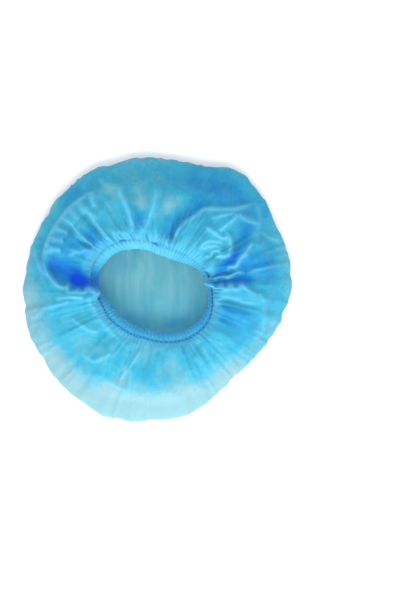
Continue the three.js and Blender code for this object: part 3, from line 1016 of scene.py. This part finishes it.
def elastic_material(name, colour):
    """Covered elastic: matt dark blue, wound round with fine thread."""
    n = Nodes(name)
    where = n.add("ShaderNodeTexCoord").outputs["Object"]
    wound = n.noise(where, WINDING_SCALE, 1)
    colour = n.tint(rgba(colour), wound, WINDING_TINT)
    normal = n.relief(wound, WINDING_RELIEF)
    cord = n.add("ShaderNodeBsdfPrincipled", {"Base Color": colour, "Roughness": 0.7, "Normal": normal})
    n.add("ShaderNodeOutputMaterial", {"Surface": cord.outputs[0]})
    return n.material


def floor_material(name, colour):
    """Plain pale studio floor."""
    n = Nodes(name)
    paper = n.add("ShaderNodeBsdfPrincipled", {"Base Color": rgba(colour), "Roughness": 0.9})
    n.add("ShaderNodeOutputMaterial", {"Surface": paper.outputs[0]})
    return n.material


class HairnetColours(bpy.types.PropertyGroup):
    """Colours of the cloth and the elastic, as linear light."""

    # Pale also stands for painted light on the near side of the rim.
    pale: bpy.props.FloatVectorProperty(
        name="Pale", description="One layer of cloth", subtype="COLOR", default=(0.36, 0.62, 0.67))
    cloth: bpy.props.FloatVectorProperty(
        name="Cloth", description="Two layers of cloth", subtype="COLOR", default=(0.065, 0.53, 0.70))
    pleat: bpy.props.FloatVectorProperty(
        name="Pleat", description="Gathered layers", subtype="COLOR", default=(0.018, 0.36, 0.70))
    # Deep in a fold the colour is partly painted shade, besides the many layers.
    pocket: bpy.props.FloatVectorProperty(
        name="Pocket", description="Many layers, deep in a fold", subtype="COLOR",
        default=(0.002, 0.11, 0.80))
    inside: bpy.props.FloatVectorProperty(
        name="Inside", description="The floor seen through the mouth", subtype="COLOR",
        default=(0.20, 0.60, 0.66))
    streak: bpy.props.FloatVectorProperty(
        name="Streak", description="Lighter streaks of the floor", subtype="COLOR",
        default=(0.32, 0.68, 0.73))
    # The colour that the attribute light mixes in: painted highlight on folds, lips, gathers, the hem and the
    # floor.
    fold: bpy.props.FloatVectorProperty(
        name="Fold", description="Sharp folds that catch the light", subtype="COLOR",
        default=(0.20, 0.76, 0.95))
    elastic: bpy.props.FloatVectorProperty(
        name="Elastic", description="The covered elastic", subtype="COLOR", default=(0.006, 0.17, 0.42))


class HairnetSizes(bpy.types.PropertyGroup):
    """Sizes that a maker would change."""

    sheet: bpy.props.FloatProperty(
        name="Sheet", description="Across the flat round sheet", unit="LENGTH", default=0.53)
    wall: bpy.props.FloatProperty(
        name="Wall", description="Thickness of the cloth", unit="LENGTH", default=CLOTH_WALL)


class HairnetStage(bpy.types.PropertyGroup):
    """The studio."""

    distance: bpy.props.FloatProperty(
        name="Camera distance", description="Height of the camera", unit="LENGTH", default=2.5)
    key: bpy.props.FloatProperty(name="Key", description="Light from the front", unit="POWER", default=28.0)
    sky: bpy.props.FloatProperty(name="Sky", description="Light from all round", default=1.14)
    floor: bpy.props.FloatVectorProperty(
        name="Floor", description="Colour of the floor", subtype="COLOR", default=(0.9, 0.9, 0.9))


class HAIRNET_OT_crown(bpy.types.Operator):
    """Build the crown: floor, outer ring, gathered top"""

    bl_idname = "hairnet.crown"
    bl_label = "Crown"

    def execute(self, context):
        sizes = context.scene.hairnet_sizes
        piece = crown_mesh(cloth_material("crown_cloth", context.scene.hairnet_colours))
        thicken(piece, sizes.wall)
        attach(piece, "root")
        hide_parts("crown")
        return {"FINISHED"}


class HAIRNET_OT_hem(bpy.types.Operator):
    bl_idname = "hairnet.hem"
    bl_label = "Hem ruffle"

    def execute(self, context):
        sizes = context.scene.hairnet_sizes
        piece = hem_mesh(cloth_material("hem_cloth", context.scene.hairnet_colours))
        thicken(piece, sizes.wall)
        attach(piece, "root")
        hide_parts("hem_ruffle")
        return {"FINISHED"}


class HAIRNET_OT_elastic(bpy.types.Operator):
    """Build the elastic in the seam"""

    bl_idname = "hairnet.elastic"
    bl_label = "Elastic"

    def execute(self, context):
        piece = elastic_mesh(elastic_material("elastic", context.scene.hairnet_colours.elastic))
        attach(piece, "root")
        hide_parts("elastic_band")
        return {"FINISHED"}


class HAIRNET_OT_stitches(bpy.types.Operator):
    """Build the stitches of the seam"""

    bl_idname = "hairnet.stitches"
    bl_label = "Seam stitches"

    def execute(self, context):
        piece = stitch_mesh(cloth_material("seam_thread", context.scene.hairnet_colours))
        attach(piece, "root")
        return {"FINISHED"}


class HAIRNET_OT_stage(bpy.types.Operator):
    """Set the floor, the lights and the camera"""

    bl_idname = "hairnet.stage"
    bl_label = "Stage"

    def execute(self, context):
        scene = context.scene
        settings = scene.hairnet_stage
        ground = bpy.data.meshes.new("ground")
        corners = ((-1, -1), (1, -1), (1, 1), (-1, 1))
        points = [(x * GROUND_REACH, y * GROUND_REACH, -CLOTH_WALL) for x, y in corners]
        ground.from_pydata(points, [], [(0, 1, 2, 3)])
        ground.materials.append(floor_material("ground", settings.floor))
        ground_object = bpy.data.objects.new("ground", ground)
        scene.collection.objects.link(ground_object)
        world = bpy.data.worlds.new("sky")
        world.use_nodes = True
        background = world.node_tree.nodes["Background"]
        background.inputs["Color"].default_value = (1, 1, 1, 1)
        background.inputs["Strength"].default_value = settings.sky
        scene.world = world
        key = bpy.data.lights.new("key", "AREA")
        key.energy = settings.key
        key.size = KEY_SIZE
        key_object = bpy.data.objects.new("key", key)
        key_object.location = KEY_PLACE
        key_object.rotation_euler = (math.radians(KEY_TILT), 0, 0)
        scene.collection.objects.link(key_object)
        camera = bpy.data.cameras.new("camera")
        camera.sensor_fit = "VERTICAL"
        camera.lens = camera.sensor_height * settings.distance / (VIEW_HEIGHT * PIXEL)
        camera_object = bpy.data.objects.new("camera", camera)
        middle_x, middle_y = plan(VIEW_MIDDLE)
        camera_object.location = (middle_x, middle_y, settings.distance + OUTLINE_HEIGHT * MM)
        scene.collection.objects.link(camera_object)
        scene.camera = camera_object
        scene.view_settings.view_transform = "Standard"
        scene.cycles.transparent_max_bounces = CLEAR_BOUNCES
        return {"FINISHED"}


class HAIRNET_PT_panel(bpy.types.Panel):
    """The steps of the build, in order"""

    bl_label = "Hairnet"
    bl_space_type = "VIEW_3D"
    bl_region_type = "UI"
    bl_category = "Hairnet"

    def draw(self, context):
        for step in STEPS:
            self.layout.operator(step.bl_idname)


STEPS = (HAIRNET_OT_crown, HAIRNET_OT_hem, HAIRNET_OT_elastic, HAIRNET_OT_stitches, HAIRNET_OT_stage)
GROUPS = {
    "hairnet_colours": HairnetColours,
    "hairnet_sizes": HairnetSizes,
    "hairnet_stage": HairnetStage,
}


def register():
    for kind in (*GROUPS.values(), *STEPS, HAIRNET_PT_panel):
        bpy.utils.register_class(kind)
    for name, kind in GROUPS.items():
        setattr(bpy.types.Scene, name, bpy.props.PointerProperty(type=kind))


def unregister():
    for name in GROUPS:
        delattr(bpy.types.Scene, name)
    for kind in (HAIRNET_PT_panel, *reversed(STEPS), *reversed(GROUPS.values())):
        bpy.utils.unregister_class(kind)


def main():
    register()
    bpy.ops.hairnet.crown()
    bpy.ops.hairnet.hem()
    bpy.ops.hairnet.elastic()
    bpy.ops.hairnet.stitches()
    bpy.ops.hairnet.stage()


if __name__ == "__main__":
    main()
